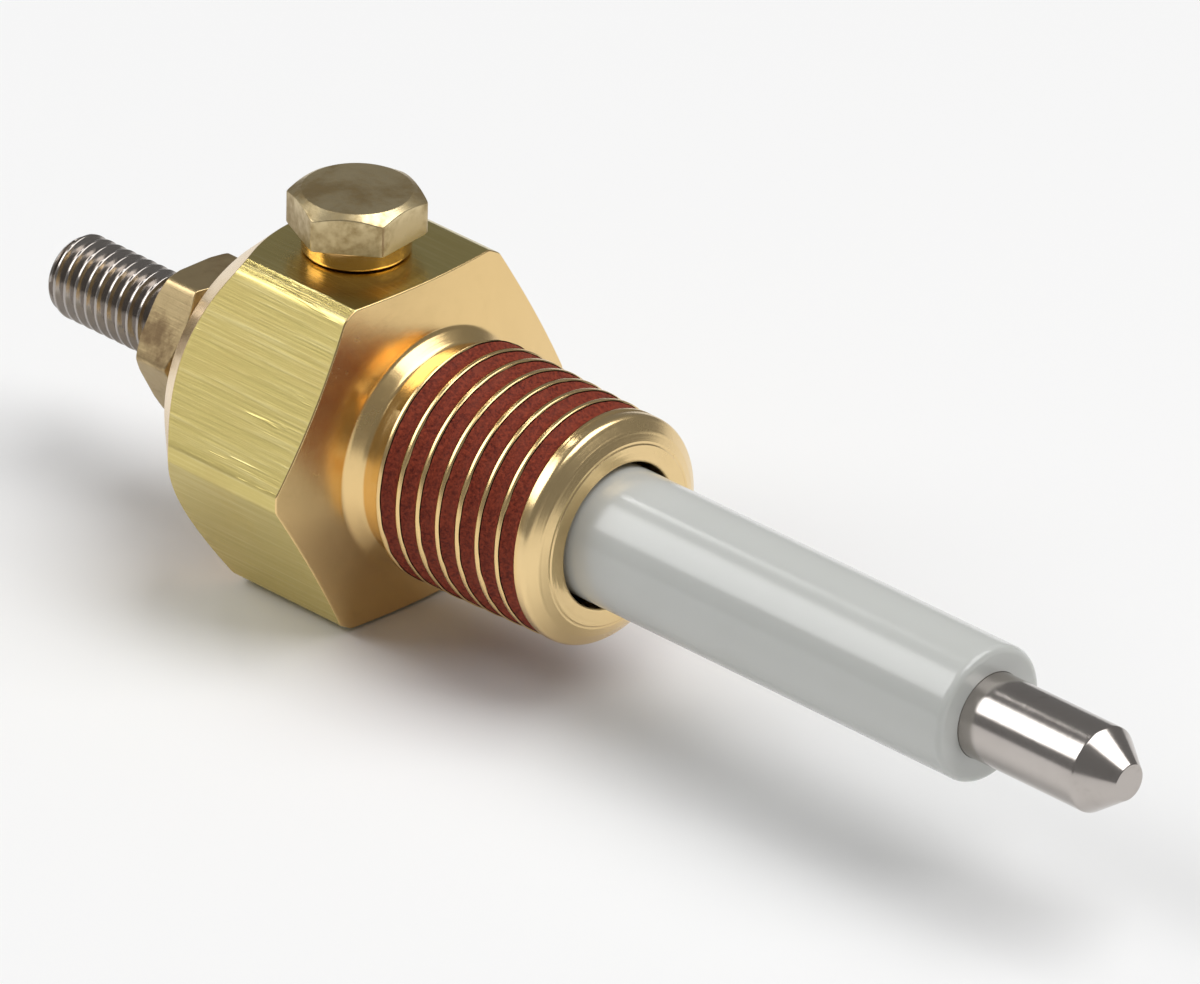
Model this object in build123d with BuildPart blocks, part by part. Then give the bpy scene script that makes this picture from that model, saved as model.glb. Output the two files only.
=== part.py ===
"""Electrode probe with a tapered pipe-thread plug, in millimetres.

Frame: +X runs along the probe from the terminal stud to the bare tip, +Z is the ground screw's
axis direction, and the origin is on the probe's axis in the plane of the plug's front hex corners.
"""
import os
from math import atan, degrees, radians, sqrt, tan

from build123d import *

os.makedirs("parts", exist_ok=True)

# ---- clearances ---------------------------------------------------------------------------------
run_gap = 0.05        # radial gap of a screw or nut that turns in or on its mate
seat_gap = 0.05       # axial gap where a part that moves away rests on its seat
fit_gap = 0.05        # radial gap between pieces that are assembled and stay put
paste_gap = 0.01      # gap between the thread sealant and the groove it fills

# ---- hex body of the plug -----------------------------------------------------------------------
hex_af = 19.05            # across the flats, bar stock
hex_corner_skim = 0.2585  # the lathe takes this much off each corner of the bar
hex_length = 8.1          # length of the six skimmed corners
rear_cone_deg = 42.0      # long rear chamfer, from the axis
rear_face_d = 15.3        # flat left inside the rear chamfer
front_face_deg = 13.0     # the front face falls back towards the corners by this much
neck_d = 12.0             # plain neck between hex and thread
neck_step = 2.3           # the neck grows by a hair's step here
neck_step_h = 0.12
neck_end = 3.05           # the neck stops here and the thread starts
neck_root_r = 0.7         # fillet between front face and neck
thread_lead = 0.17        # chamfer length at the start of the thread
thread_in = 0.35          # the groove's middle starts this far past the neck's end
thread_in_deg = 234.7     # and this far round from +Z, towards -Y

# ---- tapered pipe thread, 1/4-18 ----------------------------------------------------------------
pipe_pitch = 25.4 / 18
pipe_taper = 1 / 32       # radius lost per length
pipe_nose_d = 12.93       # crest diameter where the grooves stop
pipe_thread_end = 13.45   # last groove stops here
pipe_depth = 1.02         # crest to root
pipe_crest = 0.2          # flat left on each crest
plug_front = 14.7         # front face of the plug
nose_face_d = 10.5        # flat annulus on the front face
nose_chamfer = 0.8        # axial length of the nose chamfer
sealant_below_crest = 0.26

# ---- bores through the plug ---------------------------------------------------------------------
sleeve_d = 7.58
front_bore_play = 0.31    # radial gap seen round the sleeve
seal_shoulder = -3.0      # inner shoulder that the seal ring seats on
bushing_spigot_d = 6.7

# ---- electrode rod and its threaded stud --------------------------------------------------------
rod_d = 4.7625            # 3/16 in
stud_d = 4.78             # 10-32 crest diameter
stud_pitch = 25.4 / 32
stud_depth = 0.46
stud_crest = 0.12
stud_end = -26.2
stud_shoulder = -12.2     # the plain shank starts here, inside the bushing
stud_runout = 1.03        # plain length between the thread and the shank
stud_point = 0.36         # end chamfer
rod_flange_d = 6.6
rod_flange_length = 1.4
rod_bare = 7.9            # cylinder of bare rod past the sleeve
tip_cone = 1.9
tip_flat_d = 2.0

# ---- insulating parts ---------------------------------------------------------------------------
sleeve_end = 41.3
sleeve_edge_r = 0.45
seal_ring_play = 0.15     # radial gap between the seal ring and the front bore
seal_ring_thickness = 1.2
bushing_flange_d = 8.4
bushing_flange = 1.85
spigot_length = 7.2

# ---- terminal washer and nut --------------------------------------------------------------------
washer_d = 8.7
washer_thickness = 0.8
nut_af = 7.94             # 5/16 in
nut_thickness = 2.78      # 7/64 in
nut_turn_deg = 59.0       # where one of its corners stands, from +Y towards +Z
nut_chamfer_deg = 30.0
nut_stack_gap = 0.12      # between washer and nut

# ---- ground screw and its collar ----------------------------------------------------------------
ground_x = -4.95
ground_screw_d = 4.16     # 8-32 crest diameter
ground_pitch = 25.4 / 32
ground_depth = 0.45
ground_runout = 0.24      # the thread stops this far under the top flat
ground_reach = 3.9        # screw end below the top flat
ground_hole_spare = 0.35  # depth left under the screw's end
ground_head_af = 6.64
ground_head_h = 2.25
ground_head_turn_deg = -24.0
ground_chamfer_deg = 30.0
collar_d = 5.9
collar_h = 1.2
collar_edge_r = 0.25

# ---- derived places -----------------------------------------------------------------------------
hex_corner_r = hex_af / sqrt(3) - hex_corner_skim
rear_drop = hex_corner_r - rear_face_d / 2
rear_face = -hex_length - rear_drop / tan(radians(rear_cone_deg))
front_slope = tan(radians(front_face_deg))
neck_r = neck_d / 2
face_in_r = neck_r + neck_root_r
face_in_x = (hex_corner_r - face_in_r) * front_slope
pipe_nose_r = pipe_nose_d / 2
front_bore_r = sleeve_d / 2 + front_bore_play
seal_ring_r = front_bore_r - seal_ring_play
rear_bore_r = bushing_spigot_d / 2 + fit_gap
rod_r = rod_d / 2
flange_front = seal_shoulder + seal_ring_thickness + rod_flange_length
bushing_rear = rear_face - bushing_flange
washer_front = bushing_rear - seat_gap
washer_rear = washer_front - washer_thickness
nut_front = washer_rear - nut_stack_gap
nut_rear = nut_front - nut_thickness
rod_shoulder = sleeve_end + rod_bare
rod_tip = rod_shoulder + tip_cone
top_flat = hex_af / 2
collar_bottom = top_flat + seat_gap
collar_top = collar_bottom + collar_h
head_bottom = collar_top + seat_gap
head_top = head_bottom + ground_head_h


def crest_r(x):
    """Crest radius of the tapered pipe thread at x."""
    return pipe_nose_r + (pipe_thread_end - x) * pipe_taper


def v_helix(start, length, pitch, low_r, high_r, low_w, high_w, taper=0.0):
    """Right-hand helical solid along +X: a trapezoid from low_r to high_r, with those widths."""
    path = Helix(pitch=pitch, height=length, radius=low_r, center=(start, 0, 0),
                 direction=(1, 0, 0), cone_angle=-degrees(atan(taper)))
    first = path @ 0
    out = Vector(0, first.Y, first.Z).normalized()
    section = Plane(origin=(start, 0, 0), x_dir=out, z_dir=out.cross(Vector(1, 0, 0)))
    with BuildPart() as helix:
        with BuildSketch(section):
            with BuildLine():
                Polyline((low_r, -low_w / 2), (high_r, -high_w / 2), (high_r, high_w / 2),
                         (low_r, low_w / 2), close=True)
            make_face()
        sweep(path=path, is_frenet=True)
    return helix.part


def groove(start, length, pitch, crest_radius, depth, crest, taper=0.0):
    """The cutter for a 60 degree thread that leaves a flat of width crest on each crest."""
    flank = tan(radians(30))
    spare = 0.4 * crest     # the cutter stands this far out, and its turns still don't meet
    open_w = pitch - crest
    root_w = max(open_w - 2 * depth * flank, 0.04)
    slope = (open_w - root_w) / (2 * depth)
    return v_helix(start, length, pitch, crest_radius - depth, crest_radius + spare,
                   root_w, open_w + 2 * spare * slope, taper)


# The pipe thread starts just past the neck's end, and the sealant lies in the same groove.
pipe_start = neck_end + thread_in
pipe_run = pipe_thread_end - pipe_start
pipe_groove = Rot(thread_in_deg, 0, 0) * groove(
    pipe_start, pipe_run, pipe_pitch, crest_r(pipe_start), pipe_depth, pipe_crest, pipe_taper)
fill_open = pipe_pitch - pipe_crest
fill_root = max(fill_open - 2 * pipe_depth * tan(radians(30)), 0.04)
fill_slope = (fill_open - fill_root) / pipe_depth
fill_depth = pipe_depth - sealant_below_crest - paste_gap
sealant_helix = Rot(thread_in_deg, 0, 0) * v_helix(
    pipe_start + paste_gap, pipe_run - 2 * paste_gap, pipe_pitch,
    crest_r(pipe_start) - pipe_depth + paste_gap, crest_r(pipe_start) - sealant_below_crest,
    fill_root + fill_slope * paste_gap - 2 * paste_gap,
    fill_root + fill_slope * (fill_depth + paste_gap) - 2 * paste_gap, pipe_taper)
# Each screw groove comes in from three quarters of a turn outside the end.
stud_in = 0.75 * stud_pitch
stud_groove = groove(stud_end - stud_in, stud_shoulder - stud_runout - stud_end + stud_in,
                     stud_pitch, stud_d / 2, stud_depth, stud_crest)
ground_in = 0.75 * ground_pitch
ground_groove = groove(-ground_in, ground_reach - ground_runout + ground_in, ground_pitch,
                       ground_screw_d / 2, ground_depth, stud_crest)

# ---- plug body: hex, rear chamfer, neck, tapered thread and stepped bore -------------------------
with BuildPart() as probe_body:
    with BuildSketch(Plane.XY):
        with BuildLine():
            Polyline(
                (rear_face, 0), (rear_face, rear_face_d / 2), (-hex_length, hex_corner_r),
                (0, hex_corner_r), (face_in_x, face_in_r), (face_in_x + neck_root_r, neck_r),
                (neck_step, neck_r), (neck_step, neck_r + neck_step_h), (neck_end, neck_r + neck_step_h),
                (neck_end + thread_lead, crest_r(neck_end + thread_lead)),
                (plug_front - nose_chamfer, crest_r(plug_front - nose_chamfer)),
                (plug_front, nose_face_d / 2), (plug_front, 0), close=True)
        make_face()
    revolve(axis=Axis.X)
    # The six flats: everything behind the neck is inside the hexagon.
    with BuildSketch(Plane.YZ.offset(rear_face)) as bar:
        RegularPolygon(radius=hex_af / 2, side_count=6, major_radius=False, rotation=0)
    extrude(amount=plug_front - rear_face, mode=Mode.INTERSECT)
    add(pipe_groove, mode=Mode.SUBTRACT)
    with BuildSketch(Plane.YZ.offset(plug_front)):
        Circle(front_bore_r)
    extrude(amount=seal_shoulder - plug_front, mode=Mode.SUBTRACT)
    with BuildSketch(Plane.YZ.offset(rear_face)):
        Circle(rear_bore_r)
    extrude(amount=seal_shoulder - rear_face, mode=Mode.SUBTRACT)
    with BuildSketch(Plane.XY.offset(top_flat)):
        with Locations((ground_x, 0)):
            Circle(ground_screw_d / 2 + run_gap)
    extrude(amount=-(ground_reach + ground_hole_spare), mode=Mode.SUBTRACT)

# ---- thread sealant in the pipe thread's groove ---------------------------------------------------
with BuildPart() as thread_sealant:
    add(sealant_helix)

# ---- electrode rod: stud, shank, flange, bare rod and coned tip ------------------------------------
with BuildPart() as electrode_rod:
    with BuildSketch(Plane.XY):
        with BuildLine():
            Polyline(
                (stud_end, 0), (stud_end, stud_d / 2 - stud_point), (stud_end + stud_point, stud_d / 2),
                (stud_shoulder, stud_d / 2), (stud_shoulder, rod_r),
                (flange_front - rod_flange_length, rod_r),
                (flange_front - rod_flange_length, rod_flange_d / 2),
                (flange_front, rod_flange_d / 2), (flange_front, rod_r), (rod_shoulder, rod_r),
                (rod_tip, tip_flat_d / 2), (rod_tip, 0), close=True)
        make_face()
    revolve(axis=Axis.X)
    add(stud_groove, mode=Mode.SUBTRACT)

# ---- insulating sleeve round the rod ---------------------------------------------------------------
with BuildPart() as insulating_sleeve:
    with BuildSketch(Plane.YZ.offset(flange_front)):
        Circle(sleeve_d / 2)
        Circle(rod_r + fit_gap, mode=Mode.SUBTRACT)
    extrude(amount=sleeve_end - flange_front)
    outer_edge = edges().filter_by(GeomType.CIRCLE).group_by(Axis.X)[-1].sort_by(SortBy.RADIUS)[-1]
    fillet(outer_edge, sleeve_edge_r)

# ---- seal ring clamped between the rod's flange and the plug's inner shoulder ---------------------
with BuildPart() as seal_ring:
    with BuildSketch(Plane.YZ.offset(seal_shoulder)):
        Circle(seal_ring_r)
        Circle(rod_r + fit_gap, mode=Mode.SUBTRACT)
    extrude(amount=seal_ring_thickness)

# ---- rear shoulder bushing that keeps stud and nut clear of the plug ------------------------------
with BuildPart() as rear_bushing:
    with BuildSketch(Plane.YZ.offset(rear_face)):
        Circle(bushing_flange_d / 2)
    extrude(amount=-bushing_flange)
    with BuildSketch(Plane.YZ.offset(rear_face)):
        Circle(bushing_spigot_d / 2)
    extrude(amount=spigot_length)
    with BuildSketch(Plane.YZ.offset(bushing_rear)):
        Circle(max(rod_d, stud_d) / 2 + fit_gap)
    extrude(amount=bushing_flange + spigot_length, mode=Mode.SUBTRACT)

# ---- terminal washer ------------------------------------------------------------------------------
with BuildPart() as terminal_washer:
    with BuildSketch(Plane.YZ.offset(washer_rear)):
        Circle(washer_d / 2)
        Circle(stud_d / 2 + run_gap, mode=Mode.SUBTRACT)
    extrude(amount=washer_thickness)

# ---- terminal nut, chamfered on the side that faces the plug ---------------------------------------
nut_corner_r = nut_af / sqrt(3)
nut_face_r = nut_af / 2 * 0.97
nut_chamfer = (nut_corner_r - nut_face_r) * tan(radians(nut_chamfer_deg))
with BuildPart() as terminal_nut:
    with BuildSketch(Plane.YZ.offset(nut_rear)):
        RegularPolygon(radius=nut_corner_r, side_count=6, rotation=nut_turn_deg)
    extrude(amount=nut_thickness)
    with BuildSketch(Plane.XY):
        with BuildLine():
            Polyline((nut_rear, 0), (nut_rear, nut_corner_r), (nut_front - nut_chamfer, nut_corner_r),
                     (nut_front, nut_face_r), (nut_front, 0), close=True)
        make_face()
    revolve(axis=Axis.X, mode=Mode.INTERSECT)
    with BuildSketch(Plane.YZ.offset(nut_rear)):
        Circle(stud_d / 2 + run_gap)
    extrude(amount=nut_thickness, mode=Mode.SUBTRACT)

# ---- collar under the ground screw's head ----------------------------------------------------------
with BuildPart() as ground_collar:
    with BuildSketch(Plane.XY.offset(collar_bottom)):
        with Locations((ground_x, 0)):
            Circle(collar_d / 2)
            Circle(ground_screw_d / 2 + run_gap, mode=Mode.SUBTRACT)
    extrude(amount=collar_h)
    rims = edges().filter_by(GeomType.CIRCLE).group_by(SortBy.RADIUS)[-1]
    fillet(rims, collar_edge_r)

# ---- ground screw: chamfered hex head and threaded shank -------------------------------------------
head_corner_r = ground_head_af / sqrt(3)
head_face_r = ground_head_af / 2 * 0.89
head_chamfer = (head_corner_r - head_face_r) * tan(radians(ground_chamfer_deg))
screw_end = top_flat - ground_reach
with BuildPart() as ground_screw:
    with BuildSketch(Plane.XY.offset(head_bottom)):
        with Locations((ground_x, 0)):
            RegularPolygon(radius=head_corner_r, side_count=6, rotation=ground_head_turn_deg)
    extrude(amount=ground_head_h)
    with BuildSketch(Plane.XZ):
        with BuildLine():
            Polyline((ground_x, head_bottom), (ground_x + head_corner_r, head_bottom),
                     (ground_x + head_corner_r, head_top - head_chamfer),
                     (ground_x + head_face_r, head_top), (ground_x, head_top), close=True)
        make_face()
    revolve(axis=Axis((ground_x, 0, 0), (0, 0, 1)), mode=Mode.INTERSECT)
    with BuildSketch(Plane.XY.offset(screw_end)):
        with Locations((ground_x, 0)):
            Circle(ground_screw_d / 2)
    extrude(amount=head_bottom - screw_end)
    chamfer(edges().filter_by(GeomType.CIRCLE).group_by(Axis.Z)[0], ground_depth * 0.8)
    # The groove is made along +X, so it is stood up along +Z at the screw's place.
    add(Pos(ground_x, 0, screw_end) * Rot(0, -90, 0) * ground_groove, mode=Mode.SUBTRACT)

# ---- labels and files ------------------------------------------------------------------------------
probe_body.part.label = "probe_body"
export_step(probe_body.part, "parts/probe_body.step")
thread_sealant.part.label = "thread_sealant"
export_step(thread_sealant.part, "parts/thread_sealant.step")
electrode_rod.part.label = "electrode_rod"
export_step(electrode_rod.part, "parts/electrode_rod.step")
insulating_sleeve.part.label = "insulating_sleeve"
export_step(insulating_sleeve.part, "parts/insulating_sleeve.step")
seal_ring.part.label = "seal_ring"
export_step(seal_ring.part, "parts/seal_ring.step")
rear_bushing.part.label = "rear_bushing"
export_step(rear_bushing.part, "parts/rear_bushing.step")
terminal_washer.part.label = "terminal_washer"
export_step(terminal_washer.part, "parts/terminal_washer.step")
terminal_nut.part.label = "terminal_nut"
export_step(terminal_nut.part, "parts/terminal_nut.step")
ground_collar.part.label = "ground_collar"
export_step(ground_collar.part, "parts/ground_collar.step")
ground_screw.part.label = "ground_screw"
export_step(ground_screw.part, "parts/ground_screw.step")
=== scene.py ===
from math import cos, pi, radians, sin, tan

import bpy
import bmesh
import numpy as np
from mathutils import Matrix, Vector


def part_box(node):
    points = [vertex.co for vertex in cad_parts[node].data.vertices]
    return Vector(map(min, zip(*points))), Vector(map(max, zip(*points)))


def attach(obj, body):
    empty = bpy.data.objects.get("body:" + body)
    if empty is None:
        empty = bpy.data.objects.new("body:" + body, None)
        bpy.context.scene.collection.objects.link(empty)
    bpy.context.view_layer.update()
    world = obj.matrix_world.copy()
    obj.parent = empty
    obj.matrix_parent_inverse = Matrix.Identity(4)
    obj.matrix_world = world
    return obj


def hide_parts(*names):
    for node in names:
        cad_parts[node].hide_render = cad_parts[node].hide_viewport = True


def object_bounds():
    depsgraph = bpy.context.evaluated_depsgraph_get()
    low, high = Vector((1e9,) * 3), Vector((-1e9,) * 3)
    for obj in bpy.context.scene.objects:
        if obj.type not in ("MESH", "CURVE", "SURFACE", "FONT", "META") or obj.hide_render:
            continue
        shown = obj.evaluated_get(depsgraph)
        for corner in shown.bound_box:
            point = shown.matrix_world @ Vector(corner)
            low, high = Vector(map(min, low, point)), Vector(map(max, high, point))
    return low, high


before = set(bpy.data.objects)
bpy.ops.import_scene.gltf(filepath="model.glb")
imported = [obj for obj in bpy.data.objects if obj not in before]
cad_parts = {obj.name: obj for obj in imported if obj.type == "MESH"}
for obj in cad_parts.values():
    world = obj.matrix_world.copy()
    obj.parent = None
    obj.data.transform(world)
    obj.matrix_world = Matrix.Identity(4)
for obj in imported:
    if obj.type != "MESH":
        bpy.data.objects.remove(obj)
cad_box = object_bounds()
TAU = 2 * pi
MM = 0.001


# ---- sizes, read from the frame where it has them ------------------------------------------------
def span(node, axis):
    """Lowest and highest value of a CAD node along one axis, in millimetres."""
    low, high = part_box(node)
    return low[axis] / MM, high[axis] / MM


body_back, body_front = span("probe_body", 0)
hex_af = span("probe_body", 2)[1] - span("probe_body", 2)[0]
hex_skim_r = span("probe_body", 1)[1]
stud_back, rod_tip = span("electrode_rod", 0)
sleeve_back, sleeve_front = span("insulating_sleeve", 0)
sleeve_r = span("insulating_sleeve", 1)[1]
bushing_back, bushing_front = span("rear_bushing", 0)
bushing_r = span("rear_bushing", 1)[1]
washer_back, washer_front = span("terminal_washer", 0)
washer_r = span("terminal_washer", 1)[1]
nut_back, nut_front = span("terminal_nut", 0)
collar_bottom, collar_top = span("ground_collar", 2)
collar_r = (span("ground_collar", 0)[1] - span("ground_collar", 0)[0]) / 2
screw_x = sum(span("ground_collar", 0)) / 2
screw_end, head_top = span("ground_screw", 2)
seal_back, seal_front = span("seal_ring", 0)
seal_r = span("seal_ring", 1)[1]

strip_back = -8.1          # the skimmed corners run from here to 0
rear_cone = tan(radians(42))
face_fall = tan(radians(13))
neck_r = 6.0
neck_step, step_r = 2.3, 6.12
neck_front = 3.05
pipe_pitch = 25.4 / 18
pipe_taper = 1 / 32
pipe_end = 13.45
pipe_end_r = 6.465
pipe_depth = 1.02
front_bore_r = 4.1
rear_bore_r = 3.4
fine_pitch = 25.4 / 32
rod_r = 2.381
stud_r = 2.39
shank_r = 2.08
flange_r = 3.3
flange_back, flange_front = seal_front, sleeve_back
nut_af = 7.94
nut_turn = 59
head_af = 6.64
head_turn = -24
stud_plain = -12.2         # the plain shank starts here
spigot_r = 3.35
run_gap = 0.05             # radial clearance of a ring on its shaft


# ---- surfaces ------------------------------------------------------------------------------------
def turns(count, centres=(), half=0.0, extra=7):
    """Angles from 0 to a full turn, both ends in, with extra ones packed about the given centres."""
    angle = [np.linspace(0, TAU, count + 1)]
    for centre in centres:
        angle.append((centre + half * np.linspace(-1, 1, extra)) % TAU)
    return np.unique(np.round(np.concatenate(angle), 7))


def hexagon(angle, across, skim, first_flat, soft):
    """Radius of a hexagonal bar at each angle: half the distance across its flats over the cosine
    of the angle from the nearest flat's middle, blended into the skimmed radius."""
    off = (angle - first_flat + pi / 6) % (pi / 3) - pi / 6
    flat = across / 2 / np.cos(off)
    gap = (flat - skim) / soft
    return skim - soft * np.log1p(np.exp(-np.clip(gap, -60, 60)))


def rounded(points, radii, steps=4):
    """A corner of each profile is cut back along both of its sides by radius x tan(half the turn),
    at most 0.45 of a side, and filled with a quadratic curve whose handle is the corner."""
    points = np.asarray(points, float)
    rows = [points[:1]]
    for i in range(1, len(points) - 1):
        radius = radii[i]
        if not radius:
            rows.append(points[i:i + 1])
            continue
        back, ahead = points[i - 1] - points[i], points[i + 1] - points[i]
        long_b = np.maximum(np.linalg.norm(back, axis=-1, keepdims=True), 1e-9)
        long_a = np.maximum(np.linalg.norm(ahead, axis=-1, keepdims=True), 1e-9)
        back, ahead = back / long_b, ahead / long_a
        turn = np.arccos(np.clip(-(back * ahead).sum(-1, keepdims=True), -1, 1))
        cut = np.minimum(radius * np.tan(turn / 2), 0.45 * np.minimum(long_b, long_a))
        t = np.linspace(0, 1, steps + 1).reshape(-1, 1, 1)
        start, stop = points[i] + back * cut, points[i] + ahead * cut
        rows.append((1 - t) ** 2 * start + 2 * t * (1 - t) * points[i] + t ** 2 * stop)
    rows.append(points[-1:])
    return np.concatenate(rows)


def column(angle, *values):
    """Profile corners as an array of corners x angles x (along, out). A value may change with angle."""
    one = np.ones_like(angle)
    return np.stack([np.stack([one * a, one * r], -1) for a, r in values])


def thread_rows(angle, low, high, pitch, phase, base, depth, crest, root, fade_in, fade_out, fine=1):
    """Rows of a right-hand thread between low and high: along = phase + pitch x (turn + part + angle
    / full turn), held between the ends, and out = base less depth x a 60 degree vee that fades in
    and out. Row t at a full turn is row t + 1 at angle nought, so the seam closes."""
    flank = (1 - crest - root) / 2
    corners = np.array([0, crest, crest + flank, crest + flank + root, 1.0])
    height = np.array([0, 0, 1, 1, 0.0])
    ease = 0.09 * flank
    part, drop = [], []
    for at, h in zip(corners[:-1], height[:-1]):
        part += [at - ease, at, at + ease]
        drop += [h, h, h]
    part += list(np.linspace(corners[1] + ease, corners[2] - ease, 2 + fine)[1:-1])
    part += list(np.linspace(corners[3] + ease, corners[4] - ease, 2 + fine)[1:-1])
    part = np.sort(np.array(part) % 1.0)
    vee = np.interp(part, corners, height)
    soft = np.interp(part, corners, [0.04, 0.04, 0.96, 0.96, 0.04])
    first = int(np.floor((low - phase) / pitch)) - 1
    last = int(np.ceil((high - phase) / pitch)) + 1
    turn = np.arange(first, last + 1)
    where = (turn[:, None] + part[None, :]).reshape(-1, 1)
    vee = np.tile(0.5 * (vee + soft), len(turn)).reshape(-1, 1)
    along = np.clip(phase + pitch * (where + angle / TAU), low, high)
    ramp = np.clip((along - low) / fade_in, 0, 1) * np.clip((high - along) / fade_out, 0, 1)
    ramp = ramp * ramp * (3 - 2 * ramp)
    return np.stack([along, base(along) - depth * vee * ramp], -1)


def shell(name, rows, angle, stand, material, body, node, masks=None, closed_profile=True):
    """Turns rows (along, out) about +X at their angles: y = out cos, z = out sin. A piece with a stand
    is set upright there instead, with +Z along it. The last row joins the first if the profile closes."""
    rows = rows[::-1]
    along, out = rows[..., 0], rows[..., 1]
    x, y, z = along, out * np.cos(angle), out * np.sin(angle)
    place = np.stack([x, y, z], -1).reshape(-1, 3)
    if stand:
        place = np.stack([place[:, 2] + stand[0], place[:, 1] + stand[1], place[:, 0] + stand[2]], -1)
        place[:, 1] = 2 * stand[1] - place[:, 1]
    place = place * MM
    tall, wide = rows.shape[:2]
    j, i = np.meshgrid(np.arange(tall - 1), np.arange(wide - 1), indexing="ij")
    a = (j * wide + i).ravel()
    quads = np.stack([a, a + 1, a + wide + 1, a + wide], -1)
    if closed_profile:
        last = (tall - 1) * wide + np.arange(wide - 1)
        first = np.arange(wide - 1)
        quads = np.concatenate([quads, np.stack([last, last + 1, first + 1, first], -1)])
    piece(name, place, quads.tolist(), material, body, node, masks)


def piece(name, place, faces, material, body, node, masks=None):
    """One finished piece: merged, turned outwards, smooth-shaded, riding on its body. A face's area
    weighs its share in the normals, so that broad faces stay flat."""
    mesh = bpy.data.meshes.new(name)
    mesh.from_pydata(place.tolist(), [], faces)
    for key, value in (masks or {}).items():
        layer = mesh.attributes.new(key, "FLOAT", "POINT")
        layer.data.foreach_set("value", value.ravel().astype(np.float32))
    work = bmesh.new()
    work.from_mesh(mesh)
    bmesh.ops.remove_doubles(work, verts=work.verts, dist=2e-7)
    bmesh.ops.recalc_face_normals(work, faces=work.faces)
    work.to_mesh(mesh)
    work.free()
    mesh.update()
    count = len(mesh.polygons)
    area, normal = np.empty(count), np.empty(count * 3)
    mesh.polygons.foreach_get("area", area)
    mesh.polygons.foreach_get("normal", normal)
    corner, size = np.empty(len(mesh.loops), np.int64), np.empty(count, np.int64)
    mesh.loops.foreach_get("vertex_index", corner)
    mesh.polygons.foreach_get("loop_total", size)
    weight = np.repeat((normal.reshape(-1, 3) * area[:, None]), size, axis=0)
    total = np.zeros((len(mesh.vertices), 3))
    np.add.at(total, corner, weight)
    total /= np.maximum(np.linalg.norm(total, axis=1, keepdims=True), 1e-20)
    mesh.polygons.foreach_set("use_smooth", np.ones(count, bool))
    mesh.normals_split_custom_set_from_vertices(total.tolist())
    mesh.materials.append(material)
    thing = bpy.data.objects.new(name, mesh)
    bpy.context.scene.collection.objects.link(thing)
    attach(thing, body)
    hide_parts(node)


# ---- finishes ------------------------------------------------------------------------------------
class Value:
    """A number from a socket. Its operators add Math nodes."""

    def __init__(self, finish, socket):
        self.finish, self.socket = finish, socket

    def _math(self, what, first, second=None, clamp=False):
        return self.finish.math(what, first, second, clamp)

    def __add__(self, other): return self._math("ADD", self, other)
    def __radd__(self, other): return self._math("ADD", other, self)
    def __sub__(self, other): return self._math("SUBTRACT", self, other)
    def __rsub__(self, other): return self._math("SUBTRACT", other, self)
    def __mul__(self, other): return self._math("MULTIPLY", self, other)
    def __rmul__(self, other): return self._math("MULTIPLY", other, self)


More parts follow.
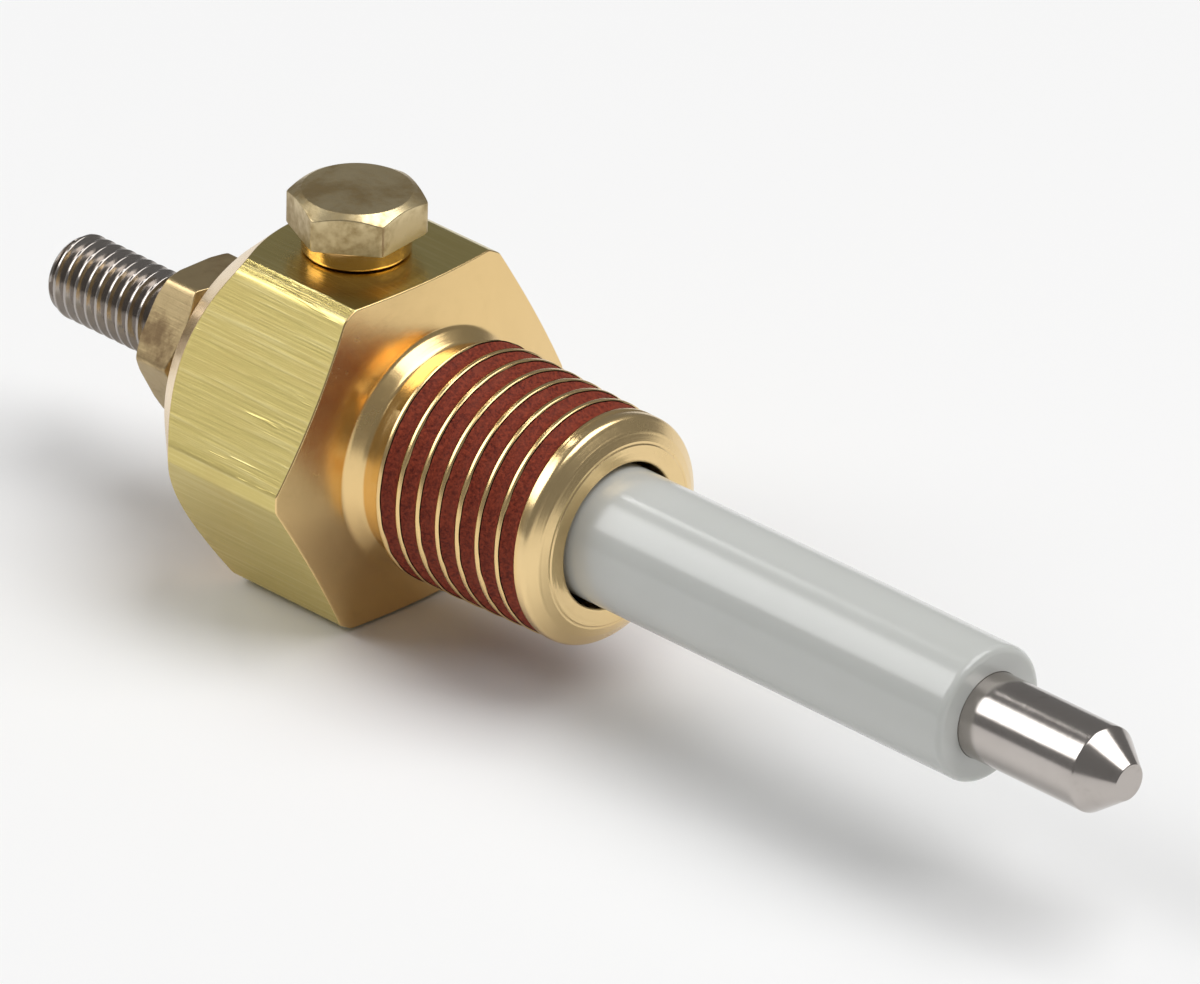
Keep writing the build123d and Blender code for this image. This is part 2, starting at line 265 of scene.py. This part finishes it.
class Finish:
    """A material in the making."""

    def __init__(self, name):
        self.material = bpy.data.materials.new(name)
        self.material.use_nodes = True
        self.tree = self.material.node_tree
        self.tree.nodes.clear()
        self.out = self.node("ShaderNodeOutputMaterial")
        self.where = self.node("ShaderNodeTexCoord").outputs["Object"]

    def node(self, kind, settings=None, sockets=None):
        """Adds a node: its settings first, then each socket's value or link."""
        made = self.tree.nodes.new(kind)
        for key, value in (settings or {}).items():
            setattr(made, key, value)
        for key, value in (sockets or {}).items():
            socket = made.inputs[key]
            source = value.socket if isinstance(value, Value) else value
            if isinstance(source, bpy.types.NodeSocket):
                self.tree.links.new(source, socket)
            else:
                socket.default_value = source
        return made

    def math(self, what, first, second=None, clamp=False):
        sockets = {0: first} if second is None else {0: first, 1: second}
        made = self.node("ShaderNodeMath", {"operation": what, "use_clamp": clamp}, sockets)
        return Value(self, made.outputs[0])

    def clamp(self, value):
        return self.math("ADD", value, 0.0, clamp=True)

    def step(self, value, low, high):
        """0 below low, 1 above high, smooth between."""
        made = self.node("ShaderNodeMapRange", {"interpolation_type": "SMOOTHSTEP"},
                         {"Value": value, "From Min": low, "From Max": high})
        return Value(self, made.outputs["Result"])

    def split(self, vector):
        made = self.node("ShaderNodeSeparateXYZ", None, {"Vector": vector})
        return [Value(self, made.outputs[k]) for k in "XYZ"]

    def vector(self, x, y, z):
        return self.node("ShaderNodeCombineXYZ", None, {"X": x, "Y": y, "Z": z}).outputs[0]

    def stretch(self, vector, scale):
        """The vector multiplied part by part, so that a pattern is drawn out along an axis."""
        made = self.node("ShaderNodeVectorMath", {"operation": "MULTIPLY"}, {0: vector, 1: scale})
        return made.outputs[0]

    def noise(self, vector, scale, detail=2.0, rough=0.5, twist=0.0):
        made = self.node("ShaderNodeTexNoise", None, {
            "Vector": vector, "Scale": scale, "Detail": detail, "Roughness": rough, "Distortion": twist})
        return Value(self, made.outputs["Fac"])

    def attribute(self, name):
        return Value(self, self.node("ShaderNodeAttribute", {"attribute_name": name}).outputs["Fac"])

    def mix(self, share, first, second):
        """Mixes two colours by share."""
        made = self.node("ShaderNodeMix", {"data_type": "RGBA"}, {"Factor": share})
        for key, value in (("A", first), ("B", second)):
            socket = [s for s in made.inputs if s.name == key and s.type == "RGBA"][0]
            if isinstance(value, bpy.types.NodeSocket):
                self.tree.links.new(value, socket)
            else:
                socket.default_value = (*value, 1.0)
        return [s for s in made.outputs if s.type == "RGBA"][0]

    def surface(self, height=None, depth=0.00001, **sockets):
        """Ends the material in one Principled shader, with a bump where a height is given."""
        made = self.node("ShaderNodeBsdfPrincipled", None,
                         {key.replace("_", " "): value for key, value in sockets.items()})
        if height is not None:
            bump = self.node("ShaderNodeBump", None, {"Strength": 1.0, "Distance": depth, "Height": height})
            self.tree.links.new(bump.outputs["Normal"], made.inputs["Normal"])
        self.tree.links.new(made.outputs["BSDF"], self.out.inputs["Surface"])
        return self.material


def about_axis(f, upright=None):
    """Place along the piece's axis, distance from it, and height over it when the axis lies."""
    x, y, z = f.split(f.where)
    if upright is not None:
        x, y, z = z, y, x - upright * MM
    return x, f.math("SQRT", y * y + z * z), z


def machined(name, bright, dull, tarnish, amount, rough=(0.2, 0.42), rings=1.0, brush=0.0,
             upright=None, darker_behind=None):
    """Turned or brushed metal: fine tool rings about the axis, brush lines along it, tarnish in
    clouds and spots. The colour may be darkened towards the tarnish behind a place on the axis."""
    f = Finish(name)
    x, out, _ = about_axis(f, upright)
    ring = f.noise(f.vector(x * 9000, out * 9000, 0.0), 1.0, 3.0, 0.65)
    wide_ring = f.noise(f.vector(x * 1700, out * 1700, 0.0), 1.0, 1.0)
    drawn_out = (90, 5200, 5200) if upright is None else (5200, 5200, 90)
    line = f.noise(f.stretch(f.where, drawn_out), 1.0, 3.0, 0.7)
    cloud = f.noise(f.where, 260.0, 4.0, 0.6, 0.4)
    speck = f.noise(f.where, 2600.0, 3.0, 0.6)
    stain = f.step(cloud + 0.25 * (speck - 0.5), 0.62 - 0.3 * amount, 0.86 - 0.3 * amount)
    colour = f.mix(f.clamp(0.5 + 1.4 * (cloud - 0.5)), bright, dull)
    colour = f.mix(stain * 0.85, colour, tarnish)
    if darker_behind is not None:
        behind = 1 - f.step(x, (darker_behind - 0.5) * MM, (darker_behind + 0.5) * MM)
        colour = f.mix(behind * 0.4, colour, tarnish)
    worn = f.clamp(0.5 + (speck - 0.5) + 0.8 * (cloud - 0.5))
    gloss = rough[0] + (rough[1] - rough[0]) * worn + 0.12 * stain
    height = rings * (0.7 * ring + 0.3 * wide_ring) + brush * line + 0.1 * speck
    return f.surface(height, 0.000012, Base_Color=colour, Metallic=1.0, Roughness=gloss)


def plug_metal():
    """Brass bar: brushed flats, turned chamfer and nose, darker where the plug has been handled."""
    f = Finish("plug_brass")
    x, out, z = about_axis(f)
    flat = f.attribute("flat")
    ring = f.noise(f.vector(x * 9000, out * 9000, 0.0), 1.0, 3.0, 0.65)
    wide_ring = f.noise(f.vector(x * 1500, out * 1500, 0.0), 1.0, 2.0)
    line = f.noise(f.stretch(f.where, (110, 4200, 4200)), 1.0, 4.0, 0.7)
    deep = f.step(f.noise(f.stretch(f.where, (160, 2400, 2400)), 1.0, 2.0, 0.6), 0.66, 0.74)
    cloud = f.noise(f.where, 240.0, 4.0, 0.6, 0.5)
    speck = f.noise(f.where, 3000.0, 3.0, 0.6)
    nose = f.step(x, (pipe_end - 0.1) * MM, (pipe_end + 0.2) * MM)
    fine_ring = f.noise(f.vector(x * 4200, out * 4200, 0.0), 1.0, 1.0)
    # The top flat is painted darker and greener than the others: painted shade for the dark space above,
    # which it reflects.
    up = f.step(z, 8.8 * MM, 9.3 * MM) * flat
    stain = f.step(cloud + 0.15 * (speck - 0.5), 0.42, 0.86)
    colour = f.mix(flat, (0.84, 0.60, 0.28), (0.68, 0.56, 0.21))
    colour = f.mix(nose * 0.6, colour, (0.86, 0.66, 0.36))
    colour = f.mix(stain * 0.16, colour, (0.58, 0.40, 0.16))
    # painted shade: the top flat is mixed towards a darker green-brown
    colour = f.mix(up * 0.25, colour, (0.60, 0.47, 0.16))
    colour = f.mix(f.clamp(flat * (line - 0.5) * 1.8), colour, (0.95, 0.86, 0.48))
    colour = f.mix(f.clamp(flat * (0.5 - line) * 1.2), colour, (0.48, 0.42, 0.13))
    gloss = 0.22 + 0.18 * flat * (1 - up) + 0.06 * (speck - 0.5) + 0.08 * stain
    turned_marks = 0.3 * ring + 0.35 * wide_ring + 0.9 * nose * fine_ring
    height = (1 - flat) * turned_marks + flat * (1.3 * line + 1.6 * deep) + 0.02 * speck
    return f.surface(height, 0.000012, Base_Color=colour, Metallic=1.0, Roughness=gloss)


def sealant_paste():
    """Dried thread paste: brick red, grainy, with painted shade that darkens its dips, and smeared thin by
    the crests.
    """
    f = Finish("sealant_paste")
    grain = f.noise(f.where, 5200.0, 3.0, 0.75)
    lump = f.noise(f.where, 900.0, 3.0, 0.6)
    colour = f.mix(f.clamp(0.5 + 3.2 * (grain - 0.5)), (0.10, 0.010, 0.004), (0.36, 0.060, 0.026))
    colour = f.mix(f.step(lump, 0.45, 0.75) * 0.35, colour, (0.32, 0.070, 0.034))
    # painted shade: the paste is mixed darker where the dip mask is high, in the middle of the groove
    colour = f.mix(f.attribute("dip") * 0.25, colour, (0.09, 0.010, 0.005))
    gloss = 0.62 + 0.25 * (grain - 0.5)
    return f.surface(grain + 0.6 * lump, 0.00006, Base_Color=colour, Roughness=gloss,
                     Specular_IOR_Level=0.2)


def sleeve_polymer():
    """Moulded fluoropolymer: pale greenish grey, milky, with faint drawing lines along the tube."""
    f = Finish("sleeve_plastic")
    cloud = f.noise(f.where, 180.0, 3.0, 0.5)
    line = f.noise(f.stretch(f.where, (60, 2600, 2600)), 1.0, 2.0, 0.5)
    grain = f.noise(f.where, 5200.0, 2.0, 0.5)
    colour = f.mix(f.clamp(0.5 + (cloud - 0.5)), (0.545, 0.555, 0.53), (0.585, 0.595, 0.57))
    gloss = 0.17 + 0.05 * (grain - 0.5) + 0.04 * (line - 0.5)
    return f.surface(0.25 * line + 0.12 * grain, 0.000006, Base_Color=colour, Roughness=gloss,
                     Specular_IOR_Level=0.62, Subsurface_Weight=0.25, Subsurface_Scale=0.001,
                     Subsurface_Radius=(1.0, 1.0, 0.9))


def dark_moulding(name, low, high, gloss_at):
    """Moulded dark resin or rubber with a fine grain."""
    f = Finish(name)
    grain = f.noise(f.where, 4200.0, 3.0, 0.6)
    cloud = f.noise(f.where, 320.0, 2.0, 0.5)
    colour = f.mix(f.clamp(0.5 + 1.2 * (grain - 0.5) + 0.6 * (cloud - 0.5)), low, high)
    return f.surface(grain, 0.00001, Base_Color=colour, Roughness=gloss_at + 0.2 * (grain - 0.5))


plug_brass = plug_metal()
nut_brass = machined("nut_brass", (0.62, 0.48, 0.26), (0.42, 0.31, 0.16), (0.20, 0.13, 0.07), 0.55,
                     (0.28, 0.46), rings=0.5, brush=0.7)
screw_brass = machined("screw_brass", (0.78, 0.64, 0.38), (0.62, 0.50, 0.28), (0.30, 0.21, 0.09), 0.6,
                       (0.24, 0.40), rings=0.9, upright=screw_x, darker_behind=head_top - 0.6)
collar_brass = machined("collar_brass", (0.90, 0.58, 0.24), (0.78, 0.48, 0.19), (0.40, 0.22, 0.08), 0.1,
                        (0.10, 0.2), rings=0.5, upright=screw_x)
washer_brass = machined("washer_brass", (0.60, 0.44, 0.26), (0.45, 0.31, 0.17), (0.22, 0.14, 0.08), 0.4)
rod_steel = machined("rod_steel", (0.56, 0.52, 0.49), (0.46, 0.42, 0.39), (0.27, 0.24, 0.21), 0.1,
                     (0.13, 0.22), rings=0.35, darker_behind=stud_plain)
sealant = sealant_paste()
sleeve_plastic = sleeve_polymer()
bushing_plastic = dark_moulding("bushing_plastic", (0.035, 0.018, 0.01), (0.09, 0.05, 0.03), 0.45)
seal_rubber = dark_moulding("seal_rubber", (0.01, 0.01, 0.01), (0.035, 0.035, 0.035), 0.6)


# ---- plug body: hex with skimmed corners, rear cone, neck, tapered thread, nose and bores --------
def pipe_crest(along):
    """Crest radius of the tapered thread, which starts as a chamfer up from the neck."""
    lead = step_r + (along - neck_front) * 4.2
    return np.minimum(lead, pipe_end_r + (pipe_end - along) * pipe_taper)


corner_at = radians(27.5)
hex_edges = [radians(60 * k + 90) + side * corner_at for k in range(6) for side in (-1, 1)]
turn = turns(288, hex_edges, radians(1.1), 9)
around = hexagon(turn, hex_af, hex_skim_r, pi / 2, 0.03)
rear_edge_r = hex_skim_r - (strip_back - body_back) * rear_cone
nose_back, nose_face_r = body_front - 0.8, 5.25
face_root = neck_r + 0.7
back = column(
    turn, (seal_back, rear_bore_r), (body_back, rear_bore_r), (body_back, rear_edge_r),
    (strip_back - (hex_skim_r - around) / rear_cone, around), ((hex_skim_r - around) * face_fall, around),
    ((hex_skim_r - face_root) * face_fall, face_root + 0 * turn),
    ((hex_skim_r - face_root) * face_fall + 0.7, neck_r + 0 * turn), (neck_step - 0.03, neck_r),
    (neck_step, step_r), (neck_front, step_r))
back = rounded(back, (0, 0.15, 0.12, 0.08, 0.10, 0.6, 0.5, 0.02, 0.02, 0), 5)
crest_share, root_share = 0.15, 0.05
# The groove's middle crosses 2.69 mm at 143.2 degrees, so this is where it is at angle nought.
groove_middle = 2.69 - 143.2 / 360 * pipe_pitch
crest_start = groove_middle + pipe_pitch * (0.5 - crest_share / 2)
threads = thread_rows(turn, neck_front, pipe_end, pipe_pitch, crest_start, pipe_crest,
                      pipe_depth, crest_share, root_share, 0.25, 0.5, 2)
front = column(
    turn, (pipe_end, pipe_crest(pipe_end)), (nose_back, pipe_crest(nose_back)), (body_front - 0.3, 5.75),
    (body_front - 0.06, nose_face_r), (body_front - 0.06, nose_face_r - 0.12),
    (body_front, nose_face_r - 0.2),
    (body_front, front_bore_r), (seal_back, front_bore_r), (seal_back, rear_bore_r))
front = rounded(front, (0, 0.5, 0.35, 0.06, 0.02, 0.04, 0.16, 0.05, 0), 4)
rows = np.concatenate([back, threads, front[:-1]])
flat = 1.0 * (np.abs(rows[..., 1] - around) < 1e-4)      # 1 where a row lies on the bar's own outline
shell("plug", rows, turn, None, plug_brass, "plug", "probe_body",
      {"flat": flat[::-1]})

# ---- sealant in the thread's groove --------------------------------------------------------------
# A ribbon along the helix: its top dips in the middle and wavers, its underside lies in the groove.
first_turn = (neck_front + 0.25 - groove_middle) / pipe_pitch
last_turn = (pipe_end - 0.42 - groove_middle) / pipe_pitch
walk = np.linspace(first_turn, last_turn, 1200) * TAU
middle = groove_middle + walk / TAU * pipe_pitch
crest = pipe_end_r + (pipe_end - middle) * pipe_taper
side = np.linspace(-1, 1, 13)
waver = 0.02 * np.sin(5.3 * walk) * np.sin(1.7 * walk + 1) + 0.008 * np.sin(23 * walk)
below = 0.05
fill = crest - below + waver
half = pipe_pitch * (1 - crest_share) / 2 - below * tan(pi / 6)
dip = 0.34 * (1 - side[None, :] ** 2)
top_out = fill[:, None] - dip
top_along = middle[:, None] + half * side[None, :]
low_out = np.stack([crest - 0.98, crest - 0.98], -1)
low_along = np.stack([middle + 0.03, middle - 0.03], -1)
ring_out = np.concatenate([top_out, low_out], 1)
ring_along = np.concatenate([top_along, low_along], 1)
place = np.stack([ring_along, ring_out * np.cos(walk)[:, None], ring_out * np.sin(walk)[:, None]], -1)
long, round_ = ring_out.shape
j, i = np.meshgrid(np.arange(long - 1), np.arange(round_), indexing="ij")
a, b = (j * round_ + i).ravel(), (j * round_ + (i + 1) % round_).ravel()
faces = np.stack([a, b, b + round_, a + round_], -1).tolist()
faces += [list(range(round_ - 1, -1, -1)), list(range((long - 1) * round_, long * round_))]

# painted shade mask: 1 in the middle of the paste's dip, falling to 0 at its edges; the underside rows take
# 1
painted_dip_shade = np.concatenate([1 - side[None, :] ** 2 + 0 * walk[:, None], np.ones((long, 2))], 1)
piece("sealant", place.reshape(-1, 3) * MM, faces, sealant, "plug", "thread_sealant",
      {"dip": painted_dip_shade})

# ---- electrode rod -------------------------------------------------------------------------------
turn = turns(128)
rod_a = rounded(column(turn, (stud_back, 0), (stud_back, stud_r - 0.36), (stud_back + 0.2, stud_r - 0.22)),
                (0, 0.15, 0), 3)
stud = thread_rows(turn, stud_back + 0.2, stud_plain - 0.5, fine_pitch, -23.96 - 0.398 * fine_pitch,
                   lambda along: np.minimum(stud_r, stud_r - 0.22 + (along - stud_back - 0.2) * 0.8),
                   0.44, 0.17, 0.12, 0.12, 0.4, 1)
rod_shoulder = rod_tip - 1.9
rod_b = rounded(column(
    turn, (stud_plain - 0.5, stud_r), (stud_plain, rod_r), (flange_back, rod_r), (flange_back, flange_r),
    (flange_front, flange_r), (flange_front, rod_r), (rod_shoulder, rod_r), (rod_tip, 1.0), (rod_tip, 0)),
    (0, 0, 0.05, 0.1, 0.1, 0.05, 0.25, 0.12, 0), 5)
shell("electrode", np.concatenate([rod_a, stud, rod_b]), turn, None, rod_steel, "plug", "electrode_rod",
      closed_profile=False)


# ---- plain turned pieces -------------------------------------------------------------------------
def turned(name, corners, radii, count, stand, material, body, node):
    """A ring whose closed outline is the corners (along, out) with rounded edges."""
    angle = turns(count)
    loop = column(angle, *corners, corners[0])
    start = (loop[0] + loop[1]) / 2
    loop = np.concatenate([[start], loop[1:], loop[1:2] * 0 + start])
    rows = rounded(loop, (0, *radii[1:], radii[0], 0), 5)
    shell(name, rows[:-1], angle, stand, material, body, node)


def ring_outline(back, front, inner, outer):
    """The four corners of a plain ring, from the outer back corner round to the inner one."""
    return [(back, outer), (front, outer), (front, inner), (back, inner)]


turned("sleeve", ring_outline(sleeve_back, sleeve_front, rod_r + 0.01, sleeve_r),
       (0.1, 0.42, 0.04, 0.1), 160, None, sleeve_plastic, "plug", "insulating_sleeve")
turned("seal", ring_outline(seal_back, seal_front, rod_r + run_gap, seal_r),
       (0.2,) * 4, 96, None, seal_rubber, "plug", "seal_ring")
turned("bushing",
       [(bushing_back, bushing_r), (body_back, bushing_r), (body_back, spigot_r),
        (bushing_front, spigot_r), (bushing_front, stud_r + run_gap), (bushing_back, stud_r + run_gap)],
       (0.25, 0.12, 0.05, 0.2, 0.1, 0.15), 96, None, bushing_plastic, "plug", "rear_bushing")
turned("washer", ring_outline(washer_back, washer_front, stud_r + run_gap, washer_r),
       (0.12, 0.12, 0.06, 0.06), 96, None, washer_brass, "terminal_washer_body", "terminal_washer")
turned("collar", ring_outline(collar_bottom, collar_top, shank_r + run_gap, collar_r),
       (0.25, 0.2, 0.1, 0.1), 120, (screw_x, 0, 0), collar_brass, "ground_collar_body",
       "ground_collar")

# ---- terminal nut --------------------------------------------------------------------------------
nut_skim = nut_af / 3 ** 0.5
edges = [radians(nut_turn + 60 * k) for k in range(6)]
turn = turns(120, edges, radians(3), 9)
around = hexagon(turn, nut_af, nut_skim - 0.05, radians(nut_turn + 30), 0.04)
nut_cone = tan(radians(30))
front_r, back_r = nut_af / 2 * 0.97, nut_af / 2 * 1.04
bore = stud_r + run_gap
rows = column(
    turn, (nut_back + 0.3, bore), (nut_back, bore + 0.3), (nut_back, np.minimum(around, back_r) - 0.04),
    (nut_back + np.maximum(around - back_r, 0) * nut_cone + 0.02, around),
    (nut_front - (around - front_r) * nut_cone, around), (nut_front, front_r + 0 * turn),
    (nut_front, bore + 0.3), (nut_front - 0.3, bore), (nut_back + 0.3, bore))
rows = rounded(rows, (0, 0.05, 0.08, 0.08, 0.10, 0.08, 0.05, 0.05, 0), 4)
shell("nut", rows[:-1], turn, None, nut_brass, "terminal_nut_body", "terminal_nut")

# ---- ground screw --------------------------------------------------------------------------------
head_bottom = collar_top + 0.05
head_skim = head_af / 3 ** 0.5
# A standing piece counts its angles from -Y towards +X, a quarter turn before +X.
edges = [radians(90 + head_turn + 60 * k) for k in range(6)]
turn = turns(120, edges, radians(3), 9)
around = hexagon(turn, head_af, head_skim - 0.04, radians(90 + head_turn + 30), 0.05)
top_r = head_af / 2 * 0.89
head_cone = tan(radians(30))
head = column(
    turn, (head_bottom, shank_r), (head_bottom, around - 0.02), (head_bottom + 0.02, around),
    (head_top - (around - top_r) * head_cone, around), (head_top, top_r + 0 * turn), (head_top, 0))
head = rounded(head, (0, 0.06, 0.06, 0.12, 0.12, 0), 4)
tail = column(turn, (screw_end, 0), (screw_end, shank_r - 0.5), (screw_end + 0.2, shank_r - 0.35))
shank = thread_rows(turn, screw_end + 0.2, head_bottom - 1.55, fine_pitch, screw_end,
                    lambda along: np.minimum(shank_r, shank_r - 0.35 + (along - screw_end - 0.2) * 0.9),
                    0.42, 0.17, 0.12, 0.12, 0.4, 1)
shell("ground_bolt", np.concatenate([tail, shank, head]), turn, (screw_x, 0, 0), screw_brass,
      "ground_screw_body", "ground_screw", closed_profile=False)

# ---- floor, light and camera ---------------------------------------------------------------------
floor_z = cad_box[0][2] - 0.0002
floor_mesh = bpy.data.meshes.new("floor")
reach = 4.0
floor_mesh.from_pydata([(x * reach, y * reach, floor_z) for x, y in ((-1, -1), (1, -1), (1, 1), (-1, 1))],
                       [], [(0, 1, 2, 3)])
floor = bpy.data.objects.new("floor", floor_mesh)
bpy.context.scene.collection.objects.link(floor)
paper = Finish("floor_paper")
tone = paper.noise(paper.where, 3.0, 2.0)
floor_mesh.materials.append(paper.surface(Base_Color=paper.mix(tone, (0.88, 0.88, 0.88), (0.90, 0.90, 0.90)),
                                          Roughness=0.9))

world = bpy.data.worlds.new("studio")
bpy.context.scene.world = world
world.use_nodes = True
sky = world.node_tree.nodes["Background"].inputs
sky["Color"].default_value, sky["Strength"].default_value = (1, 1, 1, 1), 0.22


def softbox(name, place, aim, size, power):
    """A rectangular area light at place, turned to face aim."""
    data = bpy.data.lights.new(name, "AREA")
    data.shape, data.size, data.size_y = "RECTANGLE", size[0], size[1]
    data.energy = power
    lamp = bpy.data.objects.new(name, data)
    lamp.location = place
    lamp.rotation_euler = (Vector(aim) - Vector(place)).to_track_quat("-Z", "Y").to_euler()
    bpy.context.scene.collection.objects.link(lamp)


softbox("key_light", (-0.427, -0.333, 0.445), (0, 0, 0), (0.42, 0.36), 1.75)
softbox("fill_light", (0.28, 0.20, 0.72), (0.02, 0, 0), (0.7, 0.7), 5.4)
softbox("lamp", (-0.309, 0.064, 0.391), (0, 0, 0), (0.045, 0.05), 0.06)

azimuth, elevation, roll = radians(43.779), radians(28.377), radians(1.258)
distance = 0.91535
back = Vector((sin(azimuth) * cos(elevation), -cos(azimuth) * cos(elevation), sin(elevation)))
right = Vector((cos(azimuth), sin(azimuth), 0))
up = back.cross(right)
right, up = cos(roll) * right + sin(roll) * up, cos(roll) * up - sin(roll) * right
aim = Vector((8.293, 5.148, -1.820)) * MM
lens = bpy.data.cameras.new("camera")
lens.lens, lens.sensor_width = 520.25, 36
lens.clip_start, lens.clip_end = 0.05, 20
camera = bpy.data.objects.new("camera", lens)
place = aim + back * distance
camera.matrix_world = Matrix([(*[right[k], up[k], back[k], place[k]],) for k in range(3)] + [(0, 0, 0, 1)])
bpy.context.scene.collection.objects.link(camera)
bpy.context.scene.camera = camera
bpy.context.scene.view_settings.view_transform = "Standard"
